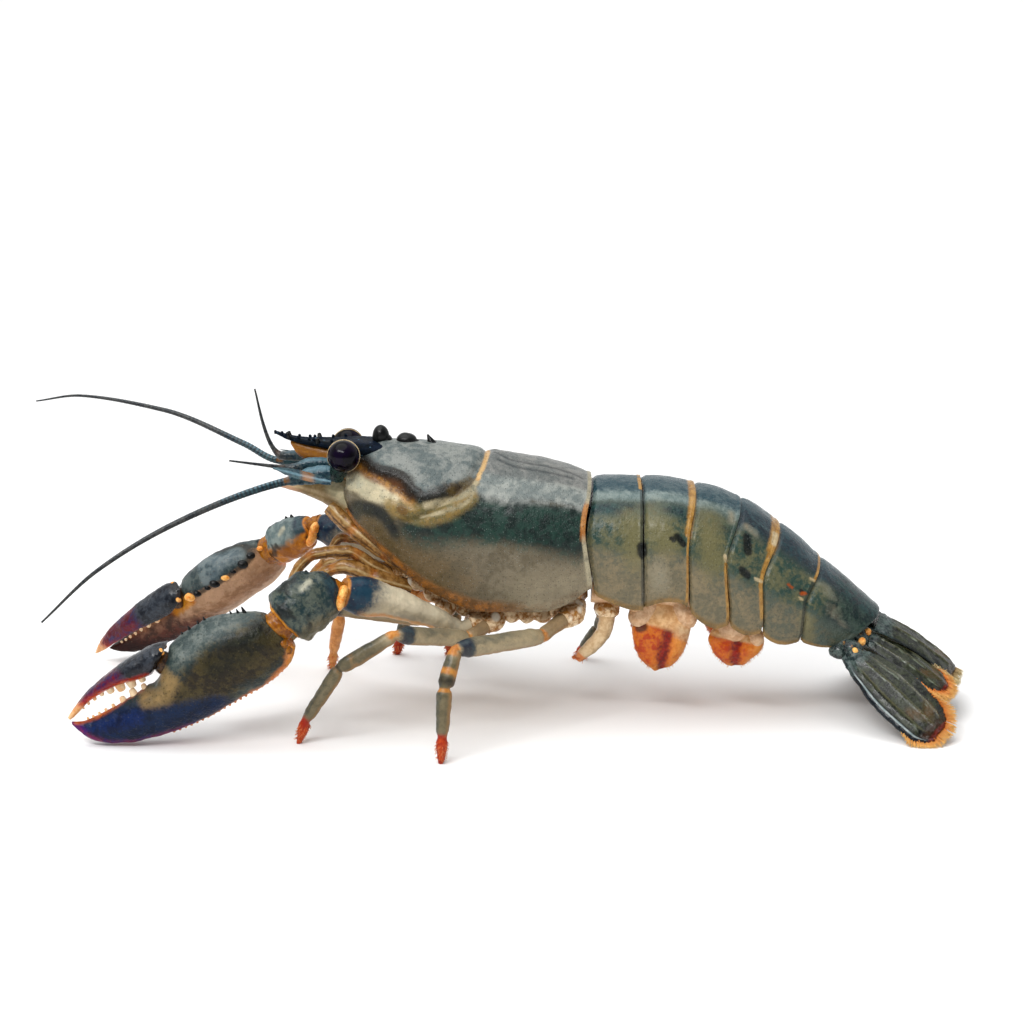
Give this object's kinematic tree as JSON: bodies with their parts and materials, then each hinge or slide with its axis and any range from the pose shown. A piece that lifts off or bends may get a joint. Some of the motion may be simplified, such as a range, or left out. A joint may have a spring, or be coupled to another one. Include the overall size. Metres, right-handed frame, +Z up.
{
  "type": "freshwater crayfish",
  "caption": "Whole freshwater crayfish at rest: ridged body shell, jointed tail with a leaf fan, large toothed claws, slender walking legs and long feelers.",
  "frame": {"origin": "middle of the whole animal's box, on the floor it stands on", "axes": "+X from the head towards the tail, -X the way the head and claws point, +Y towards the animal's right side, +Z up"},
  "size_m": [0.1998, 0.0761, 0.069],
  "materials": {
    "shell": "wet slate-green horny shell, mottled olive",
    "ring_shell": "wet teal horny shell with olive flanks",
    "claw_shell": "granular dark blue-grey and olive shell",
    "limb_shell": "smooth grey-beige horny shell",
    "skin": "soft tan and orange skin",
    "lobe": "wet orange-red and cream skin",
    "feeler": "smooth blue-grey shell",
    "eye": "polished black",
    "fan": "ribbed olive-grey shell"
  },
  "bodies": {
    "root": {"carapace": "shell", "mouth": "skin", "breast": "skin", "telson": "fan", "abdomen_1": "ring_shell", "abdomen_2": "ring_shell", "abdomen_3": "ring_shell", "abdomen_4": "ring_shell", "abdomen_5": "ring_shell", "abdomen_6": "ring_shell", "outer_leaf_left": "fan", "inner_leaf_left": "fan", "eye_left": "eye", "feeler_scale_left": "feeler", "swimmeret_front_left": "lobe", "swimmeret_rear_left": "lobe", "long_feeler_left": "feeler", "short_feeler_left": "feeler", "mouth_limb_left": "skin", "arm_left": "limb_shell", "wrist_left": "claw_shell", "palm_left": "claw_shell", "finger_left": "claw_shell", "leg_left_1": "limb_shell", "leg_left_2": "limb_shell", "leg_left_3": "limb_shell", "leg_left_4": "limb_shell", "outer_leaf_right": "fan", "inner_leaf_right": "fan", "eye_right": "eye", "feeler_scale_right": "feeler", "swimmeret_front_right": "lobe", "swimmeret_rear_right": "lobe", "long_feeler_right": "feeler", "short_feeler_right": "feeler", "mouth_limb_right": "skin", "arm_right": "limb_shell", "wrist_right": "claw_shell", "palm_right": "claw_shell", "finger_right": "claw_shell", "leg_right_1": "limb_shell", "leg_right_2": "limb_shell", "leg_right_3": "limb_shell", "leg_right_4": "limb_shell"}
  },
  "joints": []
}
